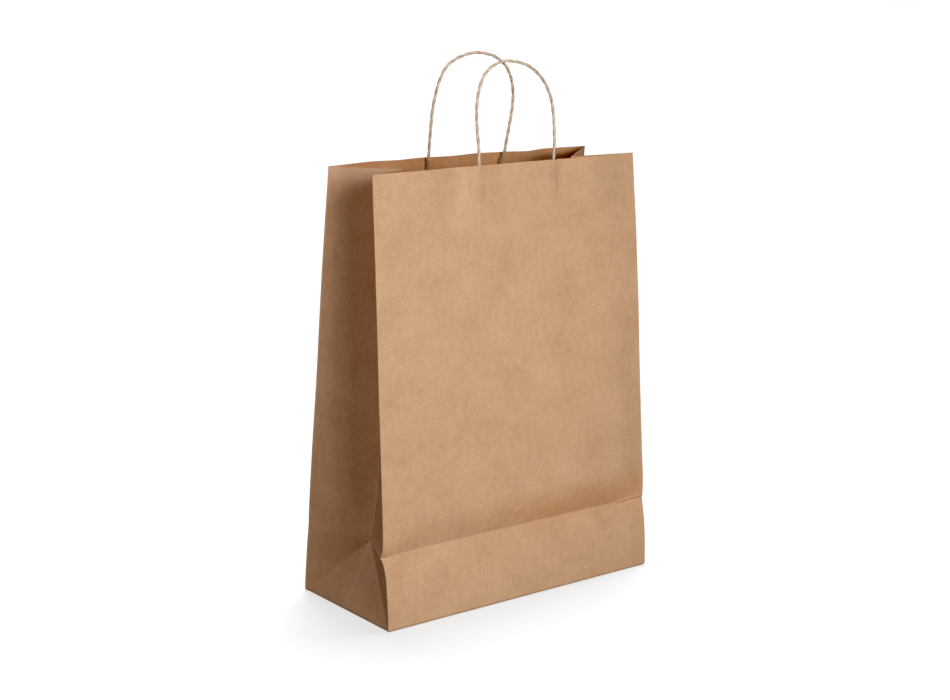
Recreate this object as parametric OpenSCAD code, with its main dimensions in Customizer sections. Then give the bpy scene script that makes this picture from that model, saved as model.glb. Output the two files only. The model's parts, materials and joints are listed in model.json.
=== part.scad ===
// Kraft paper carrier bag with a block bottom, inward-folding side gussets and twisted cord handles.
// The sheet of the bag is cut along its creases, so that each flat area between creases is one solid.
// Origin: middle of the footprint, on the surface the bag stands on. +X runs to the right along the
// front face, +Y runs to the back and +Z runs up.

/* [Bag] */
// Width of the front and back faces
bag_w = 320; // [280:1:360]
// Depth of the bottom from front to back
bag_d = 140; // [120:1:160]
// Height of the faces, measured along the paper
bag_h = 420; // [380:1:460]
// Depth of the open mouth at the rim
mouth_d = 72; // [60:1:90]
// Thickness of one layer of paper
paper_t = 0.3; // [0.2:0.05:0.4]
// Height of the crease line across the lower front and back
crease_h = 70; // [60:1:80]

/* [Gussets] */
// How far the centre fold of a gusset is pushed in where the base triangle ends
fold_in = 27.7; // [20:0.1:34]
// Clearance kept from each crease that bends
crease_gap = 0.3; // [0.2:0.05:0.5]
// Extra clearance of the outer triangles at the tip of the centre fold
tip_gap = 1.2; // [0.8:0.1:2]

/* [Bottom] */
// How far the two bottom flaps overlap in the middle
flap_lap = 24; // [12:1:40]
// How far the side tucks reach in under the flaps
tuck_reach = 82; // [74:1:90]

/* [Handles] */
// Diameter of the twisted paper cord
cord_d = 3.2; // [2.5:0.1:4]
// Distance between the two legs of a handle
leg_span = 93; // [80:1:110]
// Straight length of a leg above the hinge line
leg_rise = 49; // [40:1:60]
// Sideways place of the handles from the middle of the faces
handle_x = 6.5; // [-10:0.5:10]
// Lean of the standing handles towards the middle of the bag, in degrees
handle_lean = 6.6; // [5:0.1:8]
// Height of the line that a handle bends about, above the rim
bend_rise = 2.4; // [2.2:0.1:3]
// Length of cord glued down below the rim
cord_tail = 58; // [50:1:60]

/* [Reinforcement] */
// Width of a paper patch that holds a handle
patch_w = 190; // [150:1:220]
// Height of a patch
patch_h = 45; // [40:1:50]
// Distance from the rim down to a patch
patch_drop = 18; // [15:1:25]
// Width of the glued seam tab
seam_w = 20; // [15:1:25]

/* [Hidden] */
$fn = 48;

// Colours of the paper and of the cord
kraft = [0.76, 0.60, 0.45];
kraft_shade = [0.70, 0.54, 0.40];
patch_kraft = [0.72, 0.57, 0.43];
cord_paper = [0.82, 0.70, 0.52];

// The inner face of the paper is the reference surface, and the paper's thickness lies outside it
half_w = bag_w / 2 - paper_t;
half_d = bag_d / 2 - paper_t;
rim_half = mouth_d / 2;
// Lean of the front and back faces towards each other
lean = asin((half_d - rim_half) / bag_h);
// Radius of the cord and clearance round it inside its patch
cord_r = cord_d / 2;
cord_fit = 0.05;
// Distance of the cord's middle from the inner face of its panel
cord_in = paper_t + cord_r;
// Gap between the glued cord end and the ball that the handle bends on
bend_gap = 0.1;
// Radius of the handle's arch
arch_r = leg_span / 2;
// Edge clearance of the bottom's pieces inside the walls that stand round them
floor_gap_x = 1;
floor_gap_y = 0.5;
// Gap beside the seam tab at the corner of the bag
seam_inset = 1.5;
// Half width of the tongue at the tip of a side tuck
tongue_half = 12;

// Corner points of the right rear half gusset, on the reference surface:
// bottom corner, rim corner, centre fold at the rim, and centre fold at the top of the base triangle
fold_turn = acos(rim_half / (half_d * cos(lean)));
bottom_corner = [half_w, half_d, 0];
rim_corner = [half_w, rim_half, bag_h * cos(lean)];
fold_top = rim_corner
    + half_d * [-sin(fold_turn), -cos(fold_turn) * cos(lean), -cos(fold_turn) * sin(lean)];
fold_foot = [half_w - fold_in, 0, sqrt(half_d * half_d - fold_in * fold_in)];
// Tip of the outer triangle, held back from the centre fold along the rim
outer_tip = fold_top + tip_gap * unit(rim_corner - fold_top);
front_corner = [half_w, -half_d, 0];

function unit(v) = v / norm(v);

// Point where the line from p along d meets the line from q along e, in a plane
function meet(p, d, q, e) = p + d * (cross(q - p, e) / cross(d, e));

// Left-hand normal of a direction in a plane
function left_of(d) = [-d.y, d.x];

// Outline moved inwards by its own gap on each edge; edge i runs from point i to the next one
function inset(outline, gaps) =
    let (
        n = len(outline),
        dirs = [for (i = [0:n - 1]) unit(outline[(i + 1) % n] - outline[i])],
        starts = [for (i = [0:n - 1]) outline[i] + gaps[i] * left_of(dirs[i])]
    )
    [for (i = [0:n - 1]) meet(starts[(i + n - 1) % n], dirs[(i + n - 1) % n], starts[i], dirs[i])];

// Flat sheet through points in space, counter-clockwise as seen from outside, thickened outwards
module sheet(points, gaps) {
    o = points[0];
    ex = unit(points[1] - o);
    out = unit(cross(ex, points[len(points) - 1] - o));
    ey = cross(out, ex);
    outline = [for (p = points) [(p - o) * ex, (p - o) * ey]];
    multmatrix([
        [ex.x, ey.x, out.x, o.x],
        [ex.y, ey.y, out.y, o.y],
        [ex.z, ey.z, out.z, o.z],
        [0, 0, 0, 1]
    ])
        linear_extrude(paper_t)
            polygon(inset(outline, gaps));
}

// Places things on the back face: x across, y out of the bag, z up along the paper
module on_back() {
    translate([0, half_d, 0])
        rotate([lean, 0, 0])
            children();
}

module on_front() {
    mirror([0, 1, 0])
        on_back()
            children();
}

// ---- front and back faces ----

// Part of a face between two heights along the paper
module face_part(z_low, z_high) {
    translate([-bag_w / 2, 0, z_low])
        cube([bag_w, paper_t, z_high - z_low]);
}

module front_panel() {
    color(kraft) on_front() face_part(crease_h, bag_h);
}

module front_base_strip() {
    color(kraft_shade) on_front() face_part(0, crease_h);
}

module back_panel() {
    color(kraft) on_back() face_part(crease_h, bag_h);
}

module back_base_strip() {
    color(kraft_shade) on_back() face_part(0, crease_h);
}

// Overlap that closes the tube of paper, glued inside the back face beside the left corner
module seam_tab() {
    color(kraft_shade)
        on_back()
            translate([-half_w + seam_inset, -paper_t, floor_gap_x * 2])
                cube([seam_w, paper_t, bag_h - floor_gap_x * 3]);
}

// ---- handle patches and handles ----

// Runs its children once at each leg of a handle
module at_legs() {
    for (side = [-1, 1])
        translate([handle_x + side * leg_span / 2, -cord_in, 0])
            children();
}

module patch_backing_shape() {
    translate([handle_x - patch_w / 2, -paper_t, bag_h - patch_drop - patch_h])
        cube([patch_w, paper_t, patch_h]);
}

// Cover strip that rises over the two glued cord ends
module patch_cover_shape() {
    low = bag_h - patch_drop - patch_h;
    difference() {
        union() {
            translate([handle_x - patch_w / 2, -2 * paper_t, low])
                cube([patch_w, paper_t, patch_h]);
            at_legs()
                translate([0, 0, low])
                    cylinder(r = cord_r + cord_fit + paper_t, h = patch_h);
        }
        at_legs()
            translate([0, 0, low - 1])
                cylinder(r = cord_r + cord_fit, h = patch_h + 2);
        translate([handle_x - patch_w, -paper_t, low - 1])
            cube([2 * patch_w, cord_d * 2, patch_h + 2]);
    }
}

module cord_end_shape() {
    top = bag_h + bend_rise - cord_r - bend_gap;
    at_legs()
        translate([0, 0, bag_h - cord_tail])
            cylinder(r = cord_r, h = top - bag_h + cord_tail);
}

// Loop of cord above the line it bends about: two balls, two legs and half a ring
module handle_shape() {
    translate([handle_x, -cord_in, bag_h + bend_rise])
        rotate([handle_lean - lean, 0, 0]) {
            for (side = [-1, 1])
                translate([side * arch_r, 0, 0]) {
                    sphere(r = cord_r);
                    cylinder(r = cord_r, h = leg_rise);
                }
            translate([0, 0, leg_rise])
                rotate([90, 0, 0])
                    rotate_extrude(angle = 180)
                        translate([arch_r, 0])
                            circle(r = cord_r);
        }
}

module front_patch_backing() {
    color(patch_kraft) on_front() patch_backing_shape();
}

module front_patch_cover() {
    color(patch_kraft) on_front() patch_cover_shape();
}

module front_cord_ends() {
    color(cord_paper) on_front() cord_end_shape();
}

module front_handle() {
    color(cord_paper) on_front() handle_shape();
}

module back_patch_backing() {
    color(patch_kraft) on_back() patch_backing_shape();
}

module back_patch_cover() {
    color(patch_kraft) on_back() patch_cover_shape();
}

module back_cord_ends() {
    color(cord_paper) on_back() cord_end_shape();
}

module back_handle() {
    color(cord_paper) on_back() handle_shape();
}

// ---- gussets: the right-hand pieces, mirrored for the left and from rear to front ----

// Triangle that stands on the side edge of the bottom
module gusset_base() {
    color(kraft_shade)
        sheet([front_corner, bottom_corner, fold_foot], [crease_gap, 0, 0]);
}

// Rear half beside the centre fold, down to the base triangle
module gusset_inner() {
    color(kraft)
        sheet([bottom_corner, fold_top, fold_foot], [crease_gap, crease_gap / 2, crease_gap / 2]);
}

// Rear half beside the corner of the bag
module gusset_outer() {
    color(kraft)
        sheet([bottom_corner, rim_corner, outer_tip], [crease_gap, 0, crease_gap]);
}

module to_left() {
    mirror([1, 0, 0]) children();
}

module to_front() {
    mirror([0, 1, 0]) children();
}

module right_gusset_base() { gusset_base(); }
module right_gusset_rear_inner() { gusset_inner(); }
module right_gusset_front_inner() { to_front() gusset_inner(); }
module right_gusset_rear_outer() { gusset_outer(); }
module right_gusset_front_outer() { to_front() gusset_outer(); }
module left_gusset_base() { to_left() gusset_base(); }
module left_gusset_rear_inner() { to_left() gusset_inner(); }
module left_gusset_front_inner() { to_left() to_front() gusset_inner(); }
module left_gusset_rear_outer() { to_left() gusset_outer(); }
module left_gusset_front_outer() { to_left() to_front() gusset_outer(); }

// ---- block bottom ----

// Outline of a bottom flap: wide at its wall, mitred at 45 degrees to the middle, then straight.
// The wall is at y = depth and the flap's free edge at y = -lap.
module flap_outline(depth, lap) {
    wide = half_w - floor_gap_x;
    narrow = wide - depth;
    polygon([
        [-wide, depth], [-narrow, 0], [-narrow, -lap], [narrow, -lap], [narrow, 0], [wide, depth]
    ]);
}

// Outer flap, flat on the ground
module bottom_front_flap() {
    color(kraft)
        to_front()
            linear_extrude(paper_t)
                flap_outline(half_d - floor_gap_y, flap_lap / 2);
}

// Inner flap, which steps up over the outer one
module bottom_back_flap() {
    step_y = flap_lap / 2 + crease_gap;
    color(kraft) {
        linear_extrude(paper_t)
            intersection() {
                flap_outline(half_d - floor_gap_y, flap_lap / 2);
                translate([-half_w, step_y])
                    square([bag_w, bag_d]);
            }
        translate([0, 0, paper_t])
            linear_extrude(paper_t)
                intersection() {
                    flap_outline(half_d - floor_gap_y, flap_lap / 2);
                    translate([-half_w, -bag_d])
                        square([bag_w, bag_d + step_y + 1]);
                }
    }
}

// Side tuck, folded in first: a triangle at 45 degrees with a tongue that both flaps cover from below
module side_tuck() {
    outer = half_w - floor_gap_x;
    wide = half_d - floor_gap_y;
    neck = outer - (wide - tongue_half);
    tip = outer - tuck_reach;
    color(kraft_shade)
        translate([0, 0, 2 * paper_t])
            linear_extrude(paper_t)
                polygon([
                    [outer, -wide], [outer, wide], [neck, tongue_half],
                    [tip, tongue_half], [tip, -tongue_half], [neck, -tongue_half]
                ]);
}

module bottom_right_tuck() { side_tuck(); }
module bottom_left_tuck() { to_left() side_tuck(); }

bottom_front_flap();
bottom_back_flap();
bottom_left_tuck();
bottom_right_tuck();
front_panel();
front_base_strip();
back_panel();
back_base_strip();
seam_tab();
front_patch_backing();
front_patch_cover();
front_cord_ends();
back_patch_backing();
back_patch_cover();
back_cord_ends();
front_handle();
back_handle();
left_gusset_base();
left_gusset_front_inner();
left_gusset_rear_inner();
left_gusset_front_outer();
left_gusset_rear_outer();
right_gusset_base();
right_gusset_front_inner();
right_gusset_rear_inner();
right_gusset_front_outer();
right_gusset_rear_outer();
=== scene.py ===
import json
import math

import bmesh
import bpy
import numpy as np
from mathutils import Matrix, Vector, noise


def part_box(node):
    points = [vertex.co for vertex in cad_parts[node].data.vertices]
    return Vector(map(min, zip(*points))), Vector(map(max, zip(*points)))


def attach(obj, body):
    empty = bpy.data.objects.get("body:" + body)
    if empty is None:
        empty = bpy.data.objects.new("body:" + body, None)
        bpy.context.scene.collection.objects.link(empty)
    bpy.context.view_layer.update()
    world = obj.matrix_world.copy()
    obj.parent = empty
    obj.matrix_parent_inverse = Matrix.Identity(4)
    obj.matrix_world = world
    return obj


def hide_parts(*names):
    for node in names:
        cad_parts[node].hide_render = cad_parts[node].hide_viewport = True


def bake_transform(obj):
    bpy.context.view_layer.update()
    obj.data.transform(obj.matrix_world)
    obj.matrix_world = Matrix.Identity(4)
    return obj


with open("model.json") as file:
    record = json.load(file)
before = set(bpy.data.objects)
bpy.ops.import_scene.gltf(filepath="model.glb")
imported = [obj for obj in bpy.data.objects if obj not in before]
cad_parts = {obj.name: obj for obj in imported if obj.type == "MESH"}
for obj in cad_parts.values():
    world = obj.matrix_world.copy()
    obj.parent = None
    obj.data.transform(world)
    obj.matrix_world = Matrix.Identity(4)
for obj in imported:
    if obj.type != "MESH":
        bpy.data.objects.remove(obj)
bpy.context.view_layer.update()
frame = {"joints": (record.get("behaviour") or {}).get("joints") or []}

# ---------------------------------------------------------------- measures from the frame
# Metres throughout. x runs across the bag, y to the back and z up. s is the height along the paper of a
# face, and out is a distance out of the bag from the inner side of the paper.

MM = 0.001
JOINT = {joint["name"]: joint for joint in frame["joints"]}
HALF_W = JOINT["right_gusset_lean"]["pos_m"][0]
HALF_D = JOINT["mouth"]["pos_m"][1]
RIM_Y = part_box("back_panel")[0].y
RIM_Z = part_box("back_panel")[1].z
LEAN = math.atan2(HALF_D - RIM_Y, RIM_Z)
FACE_H = math.hypot(HALF_D - RIM_Y, RIM_Z)
CREASE_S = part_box("back_base_strip")[1].z / math.cos(LEAN)
# Centre fold of the right gusset: where it starts above the base triangle, and where it meets the rim
FOLD_IN = HALF_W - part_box("right_gusset_base")[0].x
FOOT_Z = math.sqrt(HALF_D**2 - FOLD_IN**2)
TOP_Z = RIM_Z - RIM_Y * math.tan(LEAN)
# Handles
HANDLE_X = JOINT["front_handle_swing"]["pos_m"][0]
BEND_RISE = JOINT["front_handle_swing"]["pos_m"][2] - RIM_Z
HANDLE_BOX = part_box("front_handle")
# Half the distance between the middles of a cord's two legs
LEG_X = 46.5 * MM
CORD_R = (HANDLE_BOX[1].x - HANDLE_BOX[0].x) / 2 - LEG_X
CORD_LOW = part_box("front_cord_ends")[0].z / math.cos(LEAN)
PATCH_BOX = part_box("front_patch_backing")
PATCH_LOW = PATCH_BOX[0].z / math.cos(LEAN)
PATCH_HIGH = PATCH_BOX[1].z / math.cos(LEAN)

# How the bag in the photograph stands: its rim is turned a little and has moved forward a little
RIM_TURN = math.radians(1.33)
RIM_FORWARD = 2.2 * MM
# Thickness of one layer of kraft paper
PAPER = 0.2 * MM
# Width of the fold that wraps round each upright corner on to the gusset
LIP = 2.6 * MM
# Columns of points round that corner and across the fold, and the run of paper round the corner
ARC_STEPS = 5
LIP_STEPS = 3
ARC_RUN = 0.6 * MM
# Radius of the folds along the foot of the bag
FOOT_ROUND = 1.2 * MM


# ---------------------------------------------------------------- small helpers


def ease(low, high, value):
    """0 below low, 1 above high and a smooth step between."""
    t = np.clip((value - low) / (high - low), 0, 1)
    return t * t * (3 - 2 * t)


def hill(value, middle, width):
    """1 at the middle, falling to about a third one width away."""
    return np.exp(-(((value - middle) / width) ** 2))


def through(points, value):
    """Smooth curve through a few (place, height) points, level at each point."""
    places = np.array([p[0] for p in points]) * MM
    heights = np.array([p[1] for p in points]) * MM
    i = np.clip(np.searchsorted(places, value) - 1, 0, len(places) - 2)
    t = np.clip((value - places[i]) / (places[i + 1] - places[i]), 0, 1)
    return heights[i] + (heights[i + 1] - heights[i]) * t * t * (3 - 2 * t)


def ripple(x, s, size, seed):
    """Smooth random field with features of about that size, from -1 to 1."""
    x, s = np.broadcast_arrays(x, s)
    flat = [noise.noise(Vector((a / size, b / size, seed))) for a, b in zip(x.flat, s.flat)]
    return np.array(flat).reshape(x.shape)


def spaced(low, high, step, fine=(), fine_step=None, reach=0):
    """Values from low to high, a step apart, and finer within reach of each fine place."""
    values = [low]
    while values[-1] < high:
        near = any(abs(values[-1] - f) < reach for f in fine)
        values.append(values[-1] + (fine_step if near else step))
    values = np.array(values)
    return low + (values - low) * (high - low) / (values[-1] - low)


def tuck_in(height):
    """How far the foot of a wall turns in under the bag, just above the floor."""
    return FOOT_ROUND * np.clip(1 - height / (2 * FOOT_ROUND), 0, 1) ** 2


def unit(v):
    """Vectors of length one, along the last axis."""
    return v / np.linalg.norm(v, axis=-1, keepdims=True)


def settle(p):
    """Turns and moves each point by the share of the rim's turn that its height has."""
    p = np.array(p, float)
    share = np.clip(p[..., 2] / RIM_Z, 0, 1)
    turn = RIM_TURN * share
    x, y = p[..., 0].copy(), p[..., 1].copy()
    p[..., 0] = x * np.cos(turn) - y * np.sin(turn)
    p[..., 1] = x * np.sin(turn) + y * np.cos(turn) - RIM_FORWARD * share
    return p


def finish_mesh(name, verts, faces, layers, sharp=40):
    """Makes a closed mesh object with its point attributes, smooth except at edges over sharp degrees."""
    mesh = bpy.data.meshes.new(name)
    mesh.from_pydata([tuple(v) for v in verts], [], faces)
    for layer, values in layers.items():
        values = np.asarray(values, float)
        kind = "FLOAT_VECTOR" if values.ndim == 2 else "FLOAT"
        key = "vector" if values.ndim == 2 else "value"
        mesh.attributes.new(layer, kind, "POINT").data.foreach_set(key, values.astype(np.float32).ravel())
    work = bmesh.new()
    work.from_mesh(mesh)
    bmesh.ops.remove_doubles(work, verts=work.verts, dist=1e-6)
    bmesh.ops.dissolve_degenerate(work, edges=work.edges, dist=1e-7)
    bmesh.ops.recalc_face_normals(work, faces=work.faces)
    work.to_mesh(mesh)
    work.free()
    mesh.shade_smooth()
    mesh.set_sharp_from_angle(angle=math.radians(sharp))
    obj = bpy.data.objects.new(name, mesh)
    bpy.context.scene.collection.objects.link(obj)
    PIECES.objects.link(obj)
    return obj


def add_columns(grid, strip, side):
    """A grid of points with a strip of columns added beyond its left end (-1) or its right end (1)."""
    return np.concatenate([strip[:, ::-1], grid] if side < 0 else [grid, strip], 1)


def paper_object(name, inner, outer, paper, wear, material, lining=(0, 1), dusk=(0, 0)):
    """Closed sheet between two grids of points, which hold its inner and outer faces.

    lining says how much the outer and the inner face have the tint of the paper's inner side; on the front's
    outer face it paints warm shade above the crease.
    dusk says how much each is darkened: painted shade inside by the right gusset, and darker paper below the
    front cord's ends."""
    rows, cols = inner.shape[:2]
    count = rows * cols
    grid = np.arange(count).reshape(rows, cols)
    a, b = grid[:-1, :-1].ravel(), grid[:-1, 1:].ravel()
    c, d = grid[1:, 1:].ravel(), grid[1:, :-1].ravel()
    faces = np.stack([a, b, c, d], 1).tolist()
    faces += (np.stack([d, c, b, a], 1) + count).tolist()
    border = list(grid[0, :]) + list(grid[1:, -1]) + list(grid[-1, -2::-1]) + list(grid[-2:0:-1, 0])
    for i, p in enumerate(border):
        q = border[(i + 1) % len(border)]
        faces.append([int(q), int(p), int(p) + count, int(q) + count])
    worn_and_lit = np.asarray(wear, float).ravel()
    layers = {
        "paper": np.tile(paper.reshape(-1, 3), (2, 1)),
        "wear": np.concatenate([worn_and_lit, 0.4 * worn_and_lit]),
        "lining": np.concatenate([np.broadcast_to(part, (rows, cols)).ravel() for part in lining]),
        "dusk": np.concatenate([np.broadcast_to(part, (rows, cols)).ravel() for part in dusk]),
    }
    verts = np.concatenate([outer.reshape(-1, 3), inner.reshape(-1, 3)])
    obj = finish_mesh(name, verts, faces, layers)
    obj.data.materials.append(material)
    return obj


def flat_place(x, s):
    """Place on the flat sheet of paper, which the textures follow."""
    x, s = np.broadcast_arrays(x, s)
    return np.stack([x, s, np.zeros_like(x)], -1)


# ---------------------------------------------------------------- materials


def node(tree, kind, inputs=None, **settings):
    """Adds a shader node. Each of its inputs is linked to a socket or set to a value."""
    made = tree.nodes.new(kind)
    for key, value in settings.items():
        setattr(made, key, value)
    for key, value in (inputs or {}).items():
        if isinstance(value, bpy.types.NodeSocket):
            tree.links.new(value, made.inputs[key])
        else:
            made.inputs[key].default_value = value
    return made


def stretched_noise(tree, place, stretch, scale, detail, rough=0.5):
    """Noise on the flat paper, drawn out by a different amount each way."""
    mapping = node(tree, "ShaderNodeMapping", {"Vector": place, "Scale": stretch})
    made = node(
        tree,
        "ShaderNodeTexNoise",
        {"Vector": mapping.outputs[0], "Scale": scale, "Detail": detail, "Roughness": rough},
    )
    return made.outputs["Fac"]


def level(tree, value, low, high, to_low, to_high):
    """A value carried over from one range to another."""
    made = node(
        tree,
        "ShaderNodeMapRange",
        {"Value": value, "From Min": low, "From Max": high, "To Min": to_low, "To Max": to_high},
    )
    return made.outputs[0]


def maths(tree, operation, a, b):
    return node(tree, "ShaderNodeMath", {0: a, 1: b}, operation=operation).outputs[0]


def tinted(tree, colour, shade):
    """A colour times a grey value."""
    made = node(
        tree,
        "ShaderNodeMix",
        {"Factor": 1.0, 6: colour, 7: shade},
        data_type="RGBA",
        blend_type="MULTIPLY",
    )
    return made.outputs[2]


def blended(tree, share, a, b):
    """Colour a, with a share of colour b."""
    made = node(tree, "ShaderNodeMix", {"Factor": share, 6: a, 7: b}, data_type="RGBA")
    return made.outputs[2]


def point_value(tree, name):
    """The value of that name that each point of a mesh holds."""
    return node(tree, "ShaderNodeAttribute", attribute_name=name).outputs["Fac"]


def kraft_paper(name, light, dark, worn_and_lit):
    """Uncoated kraft: cloudy fibre, fine flecks, short fibres and paler, rubbed folds, with the paler colour
    also painting light along the top of the gussets.
    """
    material = bpy.data.materials.new(name)
    material.use_nodes = True
    tree = material.node_tree
    shader = tree.nodes["Principled BSDF"]
    place = node(tree, "ShaderNodeAttribute", attribute_name="paper").outputs["Vector"]
    clouds = stretched_noise(tree, place, (1, 1, 1), 26, 3)
    mottle = stretched_noise(tree, place, (1, 0.7, 1), 150, 3, 0.6)
    grain = stretched_noise(tree, place, (1, 1, 1), 420, 4, 0.75)
    fibres = stretched_noise(tree, place, (1, 0.18, 1), 2600, 2, 0.6)
    cross = stretched_noise(tree, place, (0.2, 1, 1), 2100, 2, 0.6)
    cloudy = level(tree, clouds, 0.3, 0.7, 0, 0.26)
    mottled = level(tree, mottle, 0.3, 0.7, 0, 0.24)
    grainy = level(tree, grain, 0.3, 0.7, 0, 0.44)
    tone = maths(tree, "ADD", maths(tree, "ADD", cloudy, mottled), grainy)
    colour = blended(tree, tone, dark, light)
    ribs = level(tree, stretched_noise(tree, place, (1, 0.015, 1), 1100, 2), 0.35, 0.65, 0.975, 1.02)
    flecks = maths(tree, "MULTIPLY", level(tree, fibres, 0.62, 0.74, 1.0, 0.84), ribs)
    pale = level(tree, cross, 0.64, 0.76, 1.0, 1.08)
    colour = tinted(tree, colour, maths(tree, "MULTIPLY", flecks, pale))
    # Paler worn folds, and painted light along the top of the gussets
    colour = blended(tree, point_value(tree, "wear"), colour, worn_and_lit)
    # Warmer inner side, and painted warm shade above the front crease
    colour = blended(tree, point_value(tree, "lining"), colour, tinted(tree, colour, INNER_AND_SHADE_TINT))
    # Painted shade inside by the right gusset, and darker paper below the front cord's ends
    colour = blended(tree, point_value(tree, "dusk"), colour, tinted(tree, colour, SHADE_AND_DARKENING_TINT))
    tree.links.new(colour, shader.inputs["Base Color"])
    tree.links.new(level(tree, mottle, 0.3, 0.7, 0.72, 0.86), shader.inputs["Roughness"])
    shader.inputs["Specular IOR Level"].default_value = 0.3
    height = maths(tree, "ADD", grain, maths(tree, "MULTIPLY", maths(tree, "ADD", fibres, cross), 0.6))
    height = maths(tree, "ADD", height, maths(tree, "MULTIPLY", mottle, 1.5))
    bump = node(tree, "ShaderNodeBump", {"Strength": 0.35, "Distance": 0.12 * MM, "Height": height})
    tree.links.new(bump.outputs[0], shader.inputs["Normal"])
    return material


def cord_material(name, light, dark, shade_colour):
    """Twisted paper: pale ridges, painted brown shade in the grooves and below the rim, with streaks that
    follow each ply's own twist.
    """
    material = bpy.data.materials.new(name)
    material.use_nodes = True
    tree = material.node_tree
    shader = tree.nodes["Principled BSDF"]
    place = node(tree, "ShaderNodeAttribute", attribute_name="paper").outputs["Vector"]
    streaks = stretched_noise(tree, place, (1, 0.12, 1), 1500, 3, 0.6)
    patches = stretched_noise(tree, place, (1, 0.6, 1), 160, 2)
    streaky = level(tree, streaks, 0.35, 0.65, 0, 0.6)
    patchy = level(tree, patches, 0.35, 0.65, 0, 0.4)
    colour = blended(tree, maths(tree, "ADD", streaky, patchy), dark, light)
    # On a cord, this value is painted shade: how deep a point lies between the two plies, and the cord below
    # the rim
    colour = blended(tree, point_value(tree, "wear"), colour, shade_colour)
    tree.links.new(colour, shader.inputs["Base Color"])
    shader.inputs["Roughness"].default_value = 0.75
    shader.inputs["Specular IOR Level"].default_value = 0.3
    bump = node(tree, "ShaderNodeBump", {"Strength": 0.6, "Distance": 0.2 * MM, "Height": streaks})
    tree.links.new(bump.outputs[0], shader.inputs["Normal"])
    return material


# Tint of the inner side of the paper, which is warmer, and of the painted warm shade above the front crease,
# under the overhang
INNER_AND_SHADE_TINT = (1.06, 0.95, 0.85, 1)
# Tint of the painted shade inside by the right gusset, where the light hardly reaches, and of the darker
# paper below the front cord's ends
SHADE_AND_DARKENING_TINT = (0.38, 0.33, 0.36, 1)
KRAFT = kraft_paper(
    "kraft_paper",
    light=(0.745, 0.481, 0.30, 1),
    dark=(0.505, 0.301, 0.172, 1),
    worn_and_lit=(0.72, 0.495, 0.33, 1),
)
PATCH = kraft_paper(
    "patch_paper",
    light=(0.68, 0.44, 0.27, 1),
    dark=(0.46, 0.275, 0.156, 1),
    worn_and_lit=(0.68, 0.48, 0.33, 1),
)
CORD = cord_material(
    "twisted_cord",
    light=(0.88, 0.75, 0.60, 1),
    dark=(0.50, 0.37, 0.26, 1),
    shade_colour=(0.36, 0.24, 0.15, 1),
)


# ---------------------------------------------------------------- relief of the two faces

# Each list holds places across the bag and a height at each, in millimetres. The curves between are smooth.
# Relief of the front face along its crease: it sinks in between the two ends
CREASE_DEPTH = [(-160, -3), (-128, -7.6), (-40, -7.6), (40, -7.5), (116, -6.2), (160, -1)]
# How far the overhang reaches up above the crease
OVERHANG = [(-160, 10), (-115, 32), (120, 36), (160, 24)]
# Swell of the front face above the overhang: its left edge stays in, and its middle swells out
SWELL = [(-160, -3.6), (-110, -0.5), (0, 1.5), (60, 5.5), (122, 7), (160, 1)]
# Waves of the two rims, outwards
FRONT_RIM = [(-160, 0), (-104, 3.2), (-66, -2.2), (-40, 2.6), (-8, 0), (50, 1), (98, 5), (160, -2)]
BACK_RIM = [
    (-160, 0), (-105, 5), (-76, 2), (-50, 4.5), (-12, 2),
    (22, 5), (52, 2), (80, -3.5), (108, 1.5), (160, -1),
]
# Slant of each cord end near the rim: how far its left and right leg shift by the rim, in millimetres
LEG_SHIFT = {"front": (0, 0), "back": (-1.2, -5)}


def leg_places(end, s):
    """Where the left and the right leg of a cord lie across the face, at a height."""
    slant = ease(FACE_H - 55 * MM, FACE_H - 12 * MM, s) * MM
    left, right = LEG_SHIFT[end]
    return HANDLE_X - LEG_X + left * slant, HANDLE_X + LEG_X + right * slant


def leg_marks(end, x, s):
    """Faint upright ridges where the glued cord ends press through the paper."""
    legs = sum(hill(x, leg, 2.4 * MM) for leg in leg_places(end, s))
    return 0.35 * MM * legs * ease(CORD_LOW - 3 * MM, CORD_LOW + 5 * MM, s)


def front_relief(x, s):
    """How far the front face stands out from its flat plane."""
    depth = through(CREASE_DEPTH, x)
    reach = through(OVERHANG, x)
    swell = through(SWELL, x)
    rest = np.clip(1 - (s - CREASE_S) / (FACE_H - CREASE_S), 0, 1)
    rise = np.clip((s - CREASE_S) / reach, 0, 1)
    above = swell * rest + (depth - swell) * (1 - rise) ** 1.7
    share = np.clip(s / CREASE_S, 0, 1)
    below = depth * share**1.15 + 1.6 * MM * np.sin(math.pi * share)
    relief = np.where(s > CREASE_S, above, below)
    # Sharp dents where the crease runs round the two corners
    dent = np.exp(-np.abs(s - CREASE_S + 1 * MM) / (5 * MM))
    relief = relief - 6.5 * MM * dent * hill(x, -HALF_W, 10 * MM)
    relief = relief - 0.7 * MM * dent * hill(x, HALF_W, 7 * MM)
    # Small pinched fold at the right end of the crease
    pinch = CREASE_S + 3 * MM * ease(122 * MM, 156 * MM, x)
    near = ease(118 * MM, 134 * MM, x) * (1 - 0.7 * ease(150 * MM, 160 * MM, x))
    relief = relief + (1.1 * hill(s, pinch, 1.2 * MM) - 0.9 * hill(s, pinch - 2 * MM, 1.0 * MM)) * near * MM
    relief = relief + through(FRONT_RIM, x) * ease(FACE_H - 110 * MM, FACE_H, s) ** 2
    inside = ease(0, 30 * MM, s)
    relief = relief + 0.7 * MM * ripple(x, s, 95 * MM, 3.1) * inside
    relief = relief + 0.16 * MM * ripple(x, s, 24 * MM, 7.7) * inside
    return relief + leg_marks("front", x, s)


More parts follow.
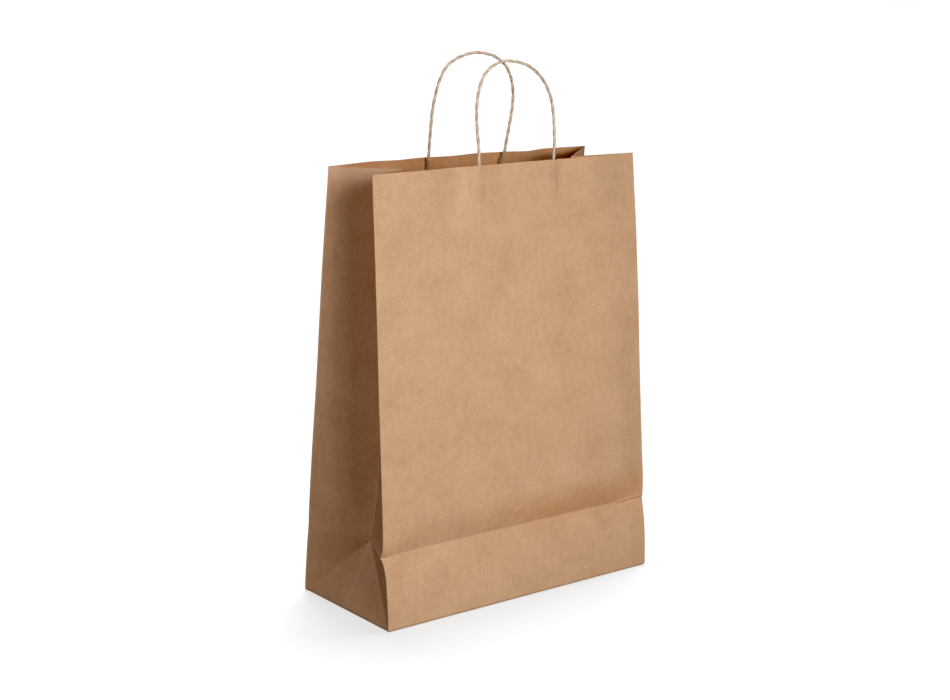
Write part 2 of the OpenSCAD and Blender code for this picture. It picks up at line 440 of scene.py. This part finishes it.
def back_relief(x, s):
    """How far the back face stands out from its flat plane."""
    rest = np.clip(1 - (s - CREASE_S) / (FACE_H - CREASE_S), 0, 1)
    rise = np.clip((s - CREASE_S) / (26 * MM), 0, 1)
    share = np.clip(s / CREASE_S, 0, 1)
    depth = -2.6 * MM * (1 - ease(HALF_W - 45 * MM, HALF_W, np.abs(x)))
    above = 0.8 * MM * rest + (depth - 0.8 * MM) * (1 - rise) ** 1.7
    below = depth * share**1.15 + 0.8 * MM * np.sin(math.pi * share)
    relief = np.where(s > CREASE_S, above, below)
    relief = relief + through(BACK_RIM, x) * ease(FACE_H - 220 * MM, FACE_H, s) ** 2
    inside = ease(0, 30 * MM, s)
    relief = relief + 0.9 * MM * ripple(x, s, 100 * MM, 11.3) * inside
    relief = relief + 0.16 * MM * ripple(x, s, 24 * MM, 5.2) * inside
    return relief + leg_marks("back", x, s)


RELIEF = {"front": front_relief, "back": back_relief}
FACING = {"front": -1, "back": 1}
# Shift to the right of each face's left and right edge, in millimetres at its foot and at its rim
EDGE_SHIFT = {"front": ((0, 0), (1.2, 0)), "back": ((-1.2, 3), (0, -1))}


def on_face(end, x, s, out=0.0):
    """Point at a distance out from the inner side of a face, before the bag settles."""
    x, s = np.broadcast_arrays(np.asarray(x, float), np.asarray(s, float))
    away = RELIEF[end](x, s) + out
    for side, (foot, rim) in zip((-1, 1), EDGE_SHIFT[end]):
        shift = foot * np.clip(1 - s / (0.6 * FACE_H), 0, 1) ** 2 + rim * (s / FACE_H) ** 2
        x = x + np.clip(side * x / HALF_W, 0, 1) * shift * MM
    x = x * (1 - tuck_in(s) / HALF_W)
    y = HALF_D - tuck_in(s) - s * math.sin(LEAN) + away * math.cos(LEAN)
    z = s * math.cos(LEAN) + away * math.sin(LEAN)
    return np.stack([x, FACING[end] * y, z], -1)


# ---------------------------------------------------------------- gussets

# Shift of each centre fold towards the back at the rim. The right one has moved forward
FOLD_SHIFT = {-1: 0, 1: -9 * MM}
SIDE_NAME = {-1: "left", 1: "right"}


def fold_line(side, end, s):
    """Inner end of a half gusset's row: the diagonal below the base triangle's tip, the centre fold above."""
    s = np.asarray(s, float)
    low = np.clip(s / CREASE_S, 0, 1)
    high = np.clip((s - CREASE_S) / (FACE_H - CREASE_S), 0, 1)
    half_depth = HALF_D - np.maximum(s, CREASE_S) * math.sin(LEAN)
    start_in = math.sqrt(HALF_D**2 - (HALF_D - CREASE_S * math.sin(LEAN)) ** 2)
    centre_in = np.sqrt(HALF_D**2 - half_depth**2) + (FOLD_IN - start_in) * (1 - high)
    fold_in = np.where(s < CREASE_S, FOLD_IN * low, centre_in)
    y = np.where(s < CREASE_S, (HALF_D - tuck_in(s)) * (1 - low), FACING[end] * FOLD_SHIFT[side] * high**2)
    z = np.where(s < CREASE_S, FOOT_Z * low, FOOT_Z + (TOP_Z - FOOT_Z) * high)
    return np.stack([side * (HALF_W - tuck_in(s) - fold_in), FACING[end] * y, z], -1)


def corner_line(side, end, s):
    """Upright corner of the bag, on the inner side of the paper."""
    return on_face(end, side * HALF_W, s)


def gusset_way(side, end, s):
    """Unit direction from the corner into the half gusset, and its outward normal."""
    s = np.maximum(s, 2 * FOOT_ROUND)
    corner = corner_line(side, end, s)
    way = unit(fold_line(side, end, s) - corner)
    up = unit(corner_line(side, end, s + 1 * MM) - corner_line(side, end, s - 1 * MM))
    out = unit(np.cross(way, up))
    flip = np.sign(np.sum(out * np.array([side, 0, 0]), -1, keepdims=True))
    return way, out * np.where(flip == 0, 1, flip)


def face_rows():
    """Heights of a wall's rows of points: finer at its foot, its crease and its rim."""
    s = spaced(0, FACE_H, 3.2 * MM, (0, CREASE_S, FACE_H), 0.9 * MM, 9 * MM)
    return np.unique(np.concatenate([s, FOOT_ROUND * np.array([0.3, 0.6, 1.4, 1.8])]))


def corner_wrap(side, end, s):
    """Columns that take a face round its upright corner and on to the gusset, from the corner outwards.

    Gives their points on the paper's inner and outer side, their place on the flat sheet and their wear."""
    facing = np.array([0, FACING[end] * math.cos(LEAN), math.sin(LEAN)])
    corner = corner_line(side, end, s)
    way, out = gusset_way(side, end, s)
    inner, outer, place, worn_and_lit = [], [], [], []
    for step in range(1, ARC_STEPS + 1):
        t = step / ARC_STEPS
        arc = unit(facing * (1 - t) + out * t)
        inner.append(corner + arc * PAPER * t)
        outer.append(corner + arc * PAPER * (1 + t))
        place.append(ARC_RUN * t)
        worn_and_lit.append(0.55)
    for step in range(1, LIP_STEPS + 1):
        t = step / LIP_STEPS
        inner.append(corner + way * LIP * t + out * PAPER)
        outer.append(corner + way * LIP * t + out * PAPER * (2 - 0.6 * t))
        place.append(ARC_RUN + LIP * t)
        worn_and_lit.append(0.35 * (1 - t))
    paper = [flat_place(side * (HALF_W + p) * -FACING[end], s) for p in place]
    wear = [np.full(len(s), w) for w in worn_and_lit]
    return [np.stack(columns, 1) for columns in (inner, outer, paper, wear)]


def front_shades(x, rows):
    """The front's painted warm shade above its crease, under the overhang, and its darker paper below the two
    ends of its cord's loop.
    """
    # Painted warm shade under the overhang above the crease, stronger towards the right
    painted_warm_shade = hill(rows, CREASE_S + 12 * MM, 15 * MM) * (0.2 + 0.7 * ease(-80 * MM, 60 * MM, x))
    # Darker paper below the two ends of the cord's loop, near the rim
    leg_darkening = 0.1 * hill(x, HANDLE_X - LEG_X, 7 * MM) + 0.2 * hill(x, HANDLE_X + LEG_X + 1 * MM, 7 * MM)
    return painted_warm_shade, leg_darkening * hill(rows, FACE_H - 17 * MM, 17 * MM)


def back_painted_shade(x, rows):
    """Painted shade of the right gusset on the back's inner side. Away from the corner it starts lower."""
    below = FACE_H - rows
    edge = np.minimum(0.17 * (HALF_W - x), 5 * MM)
    dusk = 0.9 * ease(edge - 2 * MM, edge + 4 * MM, below)
    return dusk * ease(HALF_W - 100 * MM, HALF_W - 50 * MM, x) * (1 - ease(16 * MM, 45 * MM, below))


def face_object(end):
    """One whole face of the bag, wrapped round its two upright corners."""
    legs = (HANDLE_X - LEG_X, HANDLE_X + LEG_X)
    x = spaced(-HALF_W, HALF_W, 3.2 * MM, (-HALF_W, HALF_W, *legs), 1.0 * MM, 8 * MM)
    s = face_rows()
    rows = s[:, None]
    inner, outer = on_face(end, x[None, :], rows), on_face(end, x[None, :], rows, PAPER)
    paper = flat_place(x[None, :] * -FACING[end], rows)
    crease_wear = {"front": 0.5, "back": 0.3}[end]
    wear = crease_wear * hill(rows, CREASE_S, 0.7 * MM) + 0 * x[None, :]
    plain = np.zeros((len(s), len(x)))
    painted_warm_shade, leg_darkening = front_shades(x, rows) if end == "front" else (plain, plain)
    # Painted shade on the back's inner side, by the right gusset
    dusk = back_painted_shade(x, rows) if end == "back" else plain
    for side in (-1, 1):
        inner_wrap, outer_wrap, paper_wrap, wear_wrap = corner_wrap(side, end, s)
        inner, outer = add_columns(inner, inner_wrap, side), add_columns(outer, outer_wrap, side)
        paper, wear = add_columns(paper, paper_wrap, side), add_columns(wear, wear_wrap, side)
        painted_warm_shade, leg_darkening, dusk = [add_columns(shade, 0 * wear_wrap, side) for shade in (painted_warm_shade, leg_darkening, dusk)]
    shades = {"lining": (painted_warm_shade, 1), "dusk": (leg_darkening, dusk)}
    obj = paper_object(f"{end}_face", settle(inner), settle(outer), paper, wear, KRAFT, **shades)
    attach(obj, end)
    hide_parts(f"{end}_panel", f"{end}_base_strip")
    return obj


def gusset_object(side, end):
    """Half of a gusset, from the corner of the bag to its diagonal and centre fold."""
    s = face_rows()
    # The lowest row is just above the floor, because the half gusset has no width on it
    s[0] = 0.1 * MM
    u = spaced(0, 1, 0.045, (0, 1), 0.009, 0.05)
    corner = corner_line(side, end, s)[:, None, :]
    fold = fold_line(side, end, s)[:, None, :]
    points = corner + (fold - corner) * u[None, :, None]
    way, out = gusset_way(side, end, s)
    share = ease(CREASE_S * 0.6, CREASE_S * 2, s) * (1 - ease(FACE_H * 0.8, FACE_H * 1.1, s))
    arch = np.sin(math.pi * u)[None, :]
    belly = 1.6 * MM * share[:, None] * arch
    seed = 20 + 3 * side + FACING[end]
    belly = belly + 0.8 * MM * ripple(u[None, :] * HALF_D, s[:, None], 60 * MM, seed) * arch
    points = points + belly[..., None] * out[:, None, :]
    outer = points + PAPER * out[:, None, :]
    across = HALF_W + u[None, :] * HALF_D * np.clip(s / CREASE_S, 0, 1)[:, None]
    paper = flat_place(across * side * -FACING[end], s[:, None])
    centre = hill(u[None, :], 1, 0.02) * 0.6
    level_line = 0.3 * hill(s[:, None], CREASE_S, 0.8 * MM) + 0 * u[None, :]
    # Painted light: a paler band along the top of each gusset, where light comes over the front rim
    painted_rim_light = 0.45 * ease(FACE_H - 18 * MM, FACE_H - 8 * MM, s[:, None])
    wear = np.clip(centre + level_line + painted_rim_light, 0, 0.7)
    name = SIDE_NAME[side]
    where = {"back": "rear", "front": "front"}[end]
    # Painted shade on the inner side of the right gusset's rear half, where the light hardly reaches
    dusk = (0, 0.65 if (side, end) == (1, "back") else 0)
    inner, outer = settle(points), settle(outer)
    obj = paper_object(f"{name}_gusset_{where}", inner, outer, paper, wear, KRAFT, dusk=dusk)
    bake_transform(obj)
    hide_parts(f"{name}_gusset_{where}_outer", f"{name}_gusset_{where}_inner")
    return obj


def base_triangle(side):
    """Triangle at the foot of a gusset, bent a little along its upright middle line."""
    name = SIDE_NAME[side]
    a = spaced(-1, 1, 0.025, (-1, -0.89, 0, 0.89, 1), 0.01, 0.06)
    rounded = FOOT_ROUND / FOOT_Z * np.array([0.3, 0.6, 1, 1.4, 1.8])
    b = np.unique(np.concatenate([spaced(0, 1, 0.03), rounded]))
    tip = np.array([side * (HALF_W - FOLD_IN), 0, FOOT_Z])
    foot = np.stack([np.full_like(a, side * HALF_W), a * HALF_D, np.zeros_like(a)], -1)
    points = foot[None, :, :] + (tip - foot)[None, :, :] * b[:, None, None]
    inward = tuck_in(points[..., 2])
    points[..., 0] -= side * inward
    points[..., 1] *= 1 - inward / HALF_D
    out = unit(np.array([side * FOOT_Z, 0, FOLD_IN]))
    ridge = 1.3 * MM * (1 - np.abs(a))[None, :] * np.sin(math.pi * b)[:, None] ** 0.8
    points = points + ridge[..., None] * out
    outer = points + PAPER * out
    run = (1 - b)[:, None]
    across = HALF_W + HALF_D - a[None, :] * HALF_D * run
    paper = flat_place(across * side, b[:, None] * CREASE_S + 0 * a[None, :])
    # Worn folds: both diagonals, a second mark beside each, and a wide soft one up the middle
    diagonal = 0.6 * hill((1 - np.abs(a))[None, :] * run * HALF_D, 0, 1.3 * MM)
    beside = 0.25 * hill((0.89 - np.abs(a))[None, :] * run * HALF_D, 0, 1.0 * MM) * ease(0.25, 0.6, run)
    middle = 0.35 * hill((a[None, :] - 0.03) * run * HALF_D, 0, 2.4 * MM)
    wear = np.clip(diagonal + beside + middle, 0, 0.7)
    obj = paper_object(f"{name}_gusset_foot", settle(points), settle(outer), paper, wear, KRAFT)
    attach(obj, f"{name}_gusset")
    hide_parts(f"{name}_gusset_base")
    return obj


# ---------------------------------------------------------------- block bottom


def flap_object(name, facing, lap_layer):
    """Mitred bottom flap. Where the two flaps overlap, it steps up by lap_layer thicknesses of paper."""
    lap = 12 * MM
    y = spaced(-lap, HALF_D - FOOT_ROUND, 4 * MM, (lap, -lap, HALF_D), 0.8 * MM, 3 * MM)
    a = spaced(-1, 1, 0.03)
    half = HALF_W - HALF_D + np.maximum(y, 0)
    x = a[None, :] * half[:, None]
    step = 1 - ease(lap, lap + 2 * MM, y)
    z = lap_layer * step[:, None] * PAPER + 0 * x
    z = z + 0.05 * MM * (1 + ripple(x, y[:, None] + 0 * x, 40 * MM, 31 + facing))
    inner = np.stack([x, facing * y[:, None] + 0 * x, z + PAPER], -1)
    outer = inner - np.array([0, 0, PAPER])
    paper = flat_place(x, -y[:, None])
    wear = 0.5 * hill(y[:, None], HALF_D, 0.8 * MM) + 0 * x
    obj = paper_object(f"{name}_sheet", inner, outer, paper, wear, KRAFT)
    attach(obj, "bottom")
    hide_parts(name)
    return obj


def tuck_object(side):
    """Side tuck, folded in under both flaps: a triangle with a tongue at its tip."""
    name = SIDE_NAME[side]
    reach, tongue = 82 * MM, 12 * MM
    r = spaced(FOOT_ROUND, reach, 4 * MM)
    a = spaced(-1, 1, 0.06)
    half = np.maximum(HALF_D - r, tongue)
    y = a[None, :] * half[:, None]
    x = side * (HALF_W - r)[:, None] + 0 * y
    z = 2.2 * PAPER + 0.1 * MM * (1 + ripple(x, y, 35 * MM, 41 + side))
    inner = np.stack([x, y, z + PAPER], -1)
    outer = inner - np.array([0, 0, PAPER])
    paper = flat_place(y, -r[:, None])
    obj = paper_object(f"bottom_{name}_tuck_sheet", inner, outer, paper, 0 * x, KRAFT)
    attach(obj, "bottom")
    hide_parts(f"bottom_{name}_tuck")
    return obj


# ---------------------------------------------------------------- patches and seam tab


# Shift on the flat sheet that gives the glued strips a grain of their own
STRIP_SHIFT = 0.5
# Gap left between glued layers
GLUE_GAP = 0.02 * MM


def strip_object(name, end, x, s, near, node_name, material):
    """Strip of paper glued inside a face. near is its distance from the face's inner side, as a grid."""
    rows = s[:, None]
    outer = on_face(end, x[None, :], rows, -near)
    inner = on_face(end, x[None, :], rows, -near - PAPER)
    paper = flat_place(x[None, :] + STRIP_SHIFT, rows)
    wear = 0 * x[None, :] + 0 * rows
    obj = paper_object(name, settle(inner), settle(outer), paper, wear, material, (1, 1))
    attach(obj, end)
    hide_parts(node_name)
    return obj


def patch_objects(end):
    """Backing strip glued inside a face, and the cover strip glued over it and over the cord's ends."""
    legs = (HANDLE_X - LEG_X, HANDLE_X + LEG_X)
    x = spaced(PATCH_BOX[0].x, PATCH_BOX[1].x, 3 * MM, legs, 0.5 * MM, 7 * MM)
    s = spaced(PATCH_LOW, PATCH_HIGH, 2.5 * MM)
    flat = GLUE_GAP + 0 * x[None, :] + 0 * s[:, None]
    strip_object(f"{end}_patch_backing_sheet", end, x, s, flat, f"{end}_patch_backing", PATCH)
    over = sum(hill(x[None, :], leg, 2.7 * MM) for leg in leg_places(end, s[:, None]))
    crush = 1 - 0.12 * ripple(x[None, :], s[:, None], 9 * MM, 51)
    near = flat + PAPER + 2 * GLUE_GAP + (2 * CORD_R + 0.1 * MM) * over * crush
    strip_object(f"{end}_patch_cover_sheet", end, x, s, near, f"{end}_patch_cover", PATCH)


def seam_object():
    """Seam tab of the paper tube, glued inside the back face's left edge."""
    x = spaced(-HALF_W + 0.6 * MM, -HALF_W + 20 * MM, 2.5 * MM)
    s = spaced(1 * MM, FACE_H - 0.5 * MM, 3.2 * MM, (CREASE_S,), 0.9 * MM, 9 * MM)
    flat = GLUE_GAP + 0 * x[None, :] + 0 * s[:, None]
    strip_object("seam_tab_sheet", "back", x, s, flat, "seam_tab", KRAFT)


# ---------------------------------------------------------------- twisted cord handles

# Shape of each loop above the rim, in millimetres from the middle of its legs
LOOPS = {
    "front": [
        (-46, 0), (-45, 14), (-45, 28), (-44.5, 42), (-43, 55), (-39.5, 69),
        (-33, 81.5), (-22, 90), (-8, 93.8), (7, 92.8), (21, 88.8), (33, 81),
        (42, 70.5), (48, 57), (50, 43), (50, 28), (49, 12), (47, 0),
    ],
    "back": [
        (-48.4, 0), (-48.9, 15), (-49.3, 30), (-50, 45), (-48.5, 62), (-45, 76),
        (-38, 88), (-26, 95.5), (-10, 99.4), (5, 99), (20, 95), (33, 87),
        (42, 75), (47, 60), (48.5, 45), (47.2, 28), (45, 12), (43.6, 0),
    ],
}
# Lean of each standing loop towards the middle of the bag, in degrees
LOOP_LEAN = {"front": 5, "back": 8}
# How far each cord stands off its face at the rim
STAND_OFF = {"front": 0, "back": 2.6 * MM}
# Length over which one ply goes once round the other, and over which a ply turns once on itself
LAY = 21 * MM
PLY_TURN = 7 * MM


def spline(points, step):
    """Evenly spaced points on a smooth curve through the given points, and their distances."""
    p = np.array(points, float)
    p = np.concatenate([[2 * p[0] - p[1]], p, [2 * p[-1] - p[-2]]])
    fine = []
    cuts = 24
    t = np.linspace(0, 1, cuts, endpoint=False)[:, None]
    for i in range(1, len(p) - 2):
        a, b, c, d = p[i - 1], p[i], p[i + 1], p[i + 2]
        curve = 2 * b + (c - a) * t + (2 * a - 5 * b + 4 * c - d) * t**2 + (3 * b - a - 3 * c + d) * t**3
        fine.append(0.5 * curve)
    fine = np.concatenate(fine + [p[-2:-1]])
    run = np.concatenate([[0], np.cumsum(np.linalg.norm(np.diff(fine, axis=0), axis=1))])
    even = np.linspace(0, run[-1], int(run[-1] / step) + 1)
    return np.stack([np.interp(even, run, fine[:, k]) for k in range(3)], 1), even


def cord_route(end):
    """Middle line of a handle's cord: up inside the face, round the loop, and down inside the face."""
    tail = np.array([CORD_LOW, CORD_LOW + 20 * MM, FACE_H - 22 * MM, FACE_H - 9 * MM])
    depth = -(2 * PAPER + CORD_R + 0.1 * MM) - STAND_OFF[end] * ease(FACE_H - 22 * MM, FACE_H + 4 * MM, tail)
    left, right = [on_face(end, leg, tail, depth) for leg in leg_places(end, tail)]
    lean = math.radians(LOOP_LEAN[end])
    axis = JOINT[f"{end}_handle_swing"]["pos_m"]
    loop = []
    for x, h in LOOPS[end]:
        # Near the rim the legs follow the rim's waves
        leg = HANDLE_X + (LEG_X if x > 0 else -LEG_X)
        wave = RELIEF[end](np.array(leg), np.array(FACE_H)) * (1 - ease(0, 60, h))
        inward = h * MM * math.sin(lean) - wave + STAND_OFF[end] * (1 - ease(0, 45, h))
        height = axis[2] - BEND_RISE + h * MM * math.cos(lean)
        loop.append([HANDLE_X + x * MM, axis[1] - FACING[end] * inward, height])
    return settle(np.concatenate([left, np.array(loop), right[::-1]]))


def tube_faces(start, sides, rings):
    """Faces of a closed tube. Its points run along one side after another, from the point start."""
    faces = []
    for j in range(sides):
        a = start + j * rings + np.arange(rings - 1)
        b = start + (j + 1) % sides * rings + np.arange(rings - 1)
        faces += np.stack([a, b, b + 1, a + 1], 1).tolist()
    faces.append([start + j * rings for j in range(sides)])
    faces.append([start + j * rings + rings - 1 for j in reversed(range(sides))])
    return faces


def handle_object(end):
    """Two paper plies twisted together along the cord's route, each a closed tube."""
    line, run = spline(cord_route(end), 0.7 * MM)
    way = unit(np.gradient(line, axis=0))
    side = np.zeros_like(line)
    side[0] = unit(np.cross(way[0], [0, 1, 0]))
    for i in range(1, len(line)):
        side[i] = unit(side[i - 1] - way[i] * np.dot(side[i - 1], way[i]))
    other = np.cross(way, side)
    rings, sides = len(line), 14
    offset = CORD_R * 0.25
    ply = CORD_R * 0.72
    # Painted shade on the cord below the rim, inside the bag
    shade_below_rim = 1 - ease(RIM_Z - 3 * MM, RIM_Z + 1 * MM, line[:, 2])
    verts, faces, place, cord_shade = [], [], [], []
    for k in range(2):
        wobble = np.array([noise.noise(Vector((r / (9 * MM), k * 7.3, FACING[end]))) for r in run])
        turn = 2 * math.pi * (run / LAY) + math.pi * k + 0.5 * wobble
        centre = line + offset * (np.cos(turn)[:, None] * side + np.sin(turn)[:, None] * other)
        thick = ply * (1 + 0.09 * wobble)
        for j in range(sides):
            angle = 2 * math.pi * j / sides
            arm = np.cos(turn + angle)[:, None] * side + np.sin(turn + angle)[:, None] * other
            points = centre + thick[:, None] * arm
            spin = angle + 2 * math.pi * run / PLY_TURN
            distance = np.linalg.norm(points - line, axis=1)
            verts.append(points)
            place.append(np.stack([spin * ply + k, run, np.full(rings, 0.3 * k)], 1))
            # Painted shade deep between the plies, and on the cord below the rim
            cord_shade.append(np.maximum(1 - ease(0.65 * CORD_R, 0.82 * CORD_R, distance), 0.85 * shade_below_rim))
        faces += tube_faces(k * sides * rings, sides, rings)
    layers = {"paper": np.concatenate(place), "wear": np.concatenate(cord_shade)}
    obj = finish_mesh(f"{end}_twisted_handle", np.concatenate(verts), faces, layers, sharp=60)
    obj.data.materials.append(CORD)
    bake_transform(obj)
    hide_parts(f"{end}_handle", f"{end}_cord_ends")
    return obj


# ---------------------------------------------------------------- studio

CAMERA_AT = Vector((-1.0646, -1.3449, 0.6194))
CAMERA_YAW = math.radians(38.13)
CAMERA_PITCH = math.radians(12.71)
CAMERA_ROLL = math.radians(0.79)
LENS = 68.55
# Soft lights that fall on the bag: place, size, power and colour
WHITE = (1, 1, 1)
ROSE = (1, 0.91, 0.98)
LAMPS = {
    "key": ((-0.08, -1.05, 0.70), 0.45, 6.45, WHITE),
    "low_front": ((-0.22, -1.05, 0.10), 0.45, 5.15, WHITE),
    "left_rim": ((-1.3, -0.4, 1.2), 0.45, 6.4, ROSE),
    "rear_rim": ((-1.2, 0.8, 0.8), 0.45, 1.3, ROSE),
    "rear_key": ((0.95, 1.05, 0.75), 0.6, 11.0, WHITE),
    "right_fill": ((1.4, 0.0, 0.45), 0.6, 0.4, WHITE),
    "high_back": ((0.1, 0.9, 1.5), 0.6, 2.5, WHITE),
    "overhead": ((0.0, 0.05, 1.7), 0.5, 4.0, WHITE),
    # Hidden by the floor: it only shows the underside when the floor is taken away
    "underneath": ((0.3, -0.5, -1.1), 0.6, 5.5, WHITE),
}
# Point that all of them face
LAMP_TARGET = (0, 0, 0.22)
# Light from all round
SKY = 0.075
# Glow of the floor itself
FLOOR_GLOW = 0.715
# Direction that the light on the floor comes from
TABLE_LIGHT_FROM = (0.22, 0.18, 1)
# Half the floor's width, and the radius of the dome round the bag
FLOOR_REACH = 30
DOME_RADIUS = 20
# Light level that the picture shows as black
BLACK = 0.035
# Everything that these lights fall on
PIECES = bpy.data.collections.new("pieces")


def make_camera():
    """Camera of the photograph."""
    data = bpy.data.cameras.new("camera")
    data.sensor_width = 36
    data.lens = LENS
    data.clip_end = 100
    camera = bpy.data.objects.new("camera", data)
    bpy.context.scene.collection.objects.link(camera)
    ahead = Vector((
        math.sin(CAMERA_YAW) * math.cos(CAMERA_PITCH),
        math.cos(CAMERA_YAW) * math.cos(CAMERA_PITCH),
        -math.sin(CAMERA_PITCH),
    ))
    right = Vector((math.cos(CAMERA_YAW), -math.sin(CAMERA_YAW), 0))
    up = right.cross(ahead)
    across = right * math.cos(CAMERA_ROLL) + up * math.sin(CAMERA_ROLL)
    above = up * math.cos(CAMERA_ROLL) - right * math.sin(CAMERA_ROLL)
    axes = Matrix((across, above, -ahead)).transposed().to_4x4()
    camera.matrix_world = Matrix.Translation(CAMERA_AT) @ axes
    bpy.context.scene.camera = camera


def area_light(name, place, target, size, power, colour, receivers):
    """Soft light that only lights the objects in one collection."""
    data = bpy.data.lights.new(name, "AREA")
    data.shape = "RECTANGLE"
    data.size = data.size_y = size
    data.energy = power
    data.color = colour
    light = bpy.data.objects.new(name, data)
    light.location = place
    light.rotation_euler = (Vector(target) - Vector(place)).to_track_quat("-Z", "Y").to_euler()
    bpy.context.scene.collection.objects.link(light)
    light.light_linking.receiver_collection = receivers


def make_floor():
    """Floor that is white where nothing shades it, as a lit studio table is."""
    mesh = bpy.data.meshes.new("floor")
    corners = [(x * FLOOR_REACH, y * FLOOR_REACH, 0) for x, y in ((-1, -1), (1, -1), (1, 1), (-1, 1))]
    mesh.from_pydata(corners, [], [(0, 1, 2, 3)])
    floor = bpy.data.objects.new("floor", mesh)
    floor.location.z = -0.05 * MM
    bpy.context.scene.collection.objects.link(floor)
    pale = bpy.data.materials.new("pale_floor")
    pale.use_nodes = True
    shader = pale.node_tree.nodes["Principled BSDF"]
    shader.inputs["Base Color"].default_value = (0.197, 0.2, 0.205, 1)
    shader.inputs["Roughness"].default_value = 1.0
    shader.inputs["Specular IOR Level"].default_value = 0.0
    shader.inputs["Emission Color"].default_value = (1, 1, 1, 1)
    shader.inputs["Emission Strength"].default_value = FLOOR_GLOW
    mesh.materials.append(pale)
    floor.visible_diffuse = False
    floor.visible_glossy = False
    return floor


def make_backdrop():
    """White dome far round the bag. It lights nothing and casts no shadow."""
    mesh = bpy.data.meshes.new("backdrop")
    work = bmesh.new()
    bmesh.ops.create_icosphere(work, subdivisions=5, radius=DOME_RADIUS)
    work.to_mesh(mesh)
    work.free()
    backdrop = bpy.data.objects.new("backdrop", mesh)
    bpy.context.scene.collection.objects.link(backdrop)
    white = bpy.data.materials.new("white_backdrop")
    white.use_nodes = True
    shader = white.node_tree.nodes["Principled BSDF"]
    shader.inputs["Base Color"].default_value = (0, 0, 0, 1)
    shader.inputs["Emission Color"].default_value = (1, 1, 1, 1)
    shader.inputs["Emission Strength"].default_value = 1.0
    mesh.materials.append(white)
    backdrop.visible_diffuse = False
    backdrop.visible_glossy = False
    backdrop.visible_shadow = False


def make_studio():
    """Floor, dome, weak light all round, lamps for the bag and a sun that only lights the floor."""
    floor = make_floor()
    make_backdrop()
    table = bpy.data.collections.new("table")
    table.objects.link(floor)
    world = bpy.data.worlds.new("studio")
    world.use_nodes = True
    world.node_tree.nodes["Background"].inputs["Color"].default_value = (1, 0.94, 0.88, 1)
    world.node_tree.nodes["Background"].inputs["Strength"].default_value = SKY
    bpy.context.scene.world = world
    for name, (place, size, power, colour) in LAMPS.items():
        area_light(name, place, LAMP_TARGET, size, power, colour, PIECES)
    sun = bpy.data.lights.new("table_light", "SUN")
    sun.energy = 6
    sun.angle = math.radians(27)
    table_light = bpy.data.objects.new("table_light", sun)
    table_light.rotation_euler = Vector(TABLE_LIGHT_FROM).to_track_quat("Z", "Y").to_euler()
    bpy.context.scene.collection.objects.link(table_light)
    table_light.light_linking.receiver_collection = table
    view = bpy.context.scene.view_settings
    view.view_transform = "Standard"
    view.use_curve_mapping = True
    view.curve_mapping.black_level = (BLACK, BLACK, BLACK)
    view.curve_mapping.update()


# ---------------------------------------------------------------- build

make_camera()
make_studio()
for face in ("front", "back"):
    face_object(face)
    patch_objects(face)
    handle_object(face)
    for hand in (-1, 1):
        gusset_object(hand, face)
seam_object()
for hand in (-1, 1):
    base_triangle(hand)
    tuck_object(hand)
flap_object("bottom_front_flap", -1, lap_layer=0)
flap_object("bottom_back_flap", 1, lap_layer=1.1)
